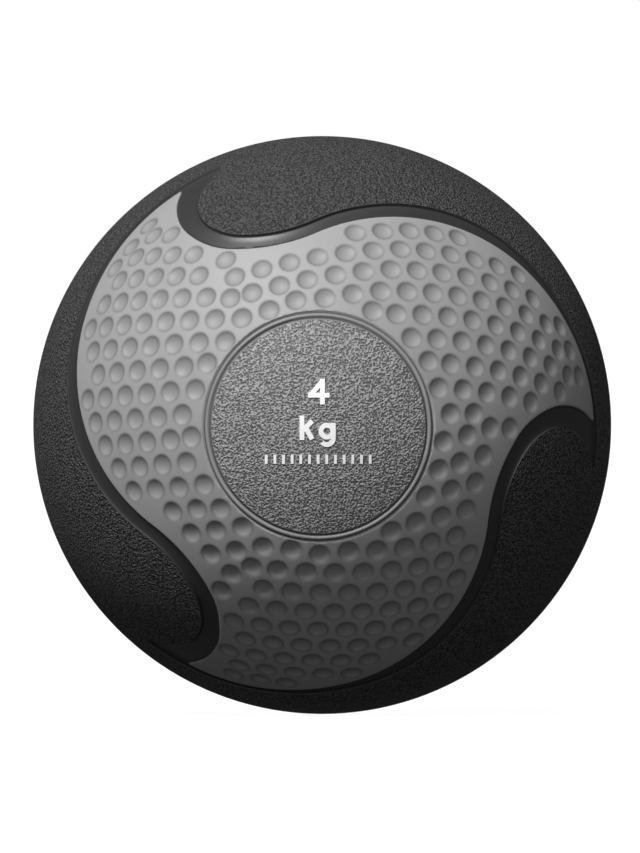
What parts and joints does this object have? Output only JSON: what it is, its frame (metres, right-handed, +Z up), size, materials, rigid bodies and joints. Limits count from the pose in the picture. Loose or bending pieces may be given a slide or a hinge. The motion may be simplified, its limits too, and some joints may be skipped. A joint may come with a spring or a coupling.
{
  "type": "medicine ball",
  "caption": "Round rubber medicine ball with black pads, a dimpled grey three-armed swirl, a round badge on each side and a needle valve.",
  "frame": {"origin": "centre of the ball", "axes": "+Z up as the weight mark reads, -Y out through the front badge, +Y out through the rear badge and the needle valve in it"},
  "size_m": [0.23, 0.2281, 0.23],
  "materials": {
    "black_rubber": "fine pebble grain on the pads, smooth satin in the band",
    "grey_rubber": "smooth satin with moulded dimples",
    "badge_rubber": "leather grain inside a smooth bead",
    "white_ink": "flat screen-printed ink",
    "heavy_rubber": "dull filled compound",
    "nylon_thread": "wound nylon thread",
    "bladder_rubber": "smooth butyl",
    "valve_rubber": "soft smooth rubber"
  },
  "bodies": {
    "root": {"bladder": "bladder_rubber", "thread_winding": "nylon_thread", "valve_boot": "bladder_rubber", "valve_core": "valve_rubber", "weight_shell_front": "heavy_rubber", "weight_shell_rear": "heavy_rubber", "cover_front": "black_rubber", "cover_rear": "black_rubber", "inlay_front": "grey_rubber", "inlay_rear": "grey_rubber", "badge_front": "badge_rubber", "badge_rear": "badge_rubber", "weight_mark_front": "white_ink", "weight_mark_rear": "white_ink"}
  },
  "joints": []
}
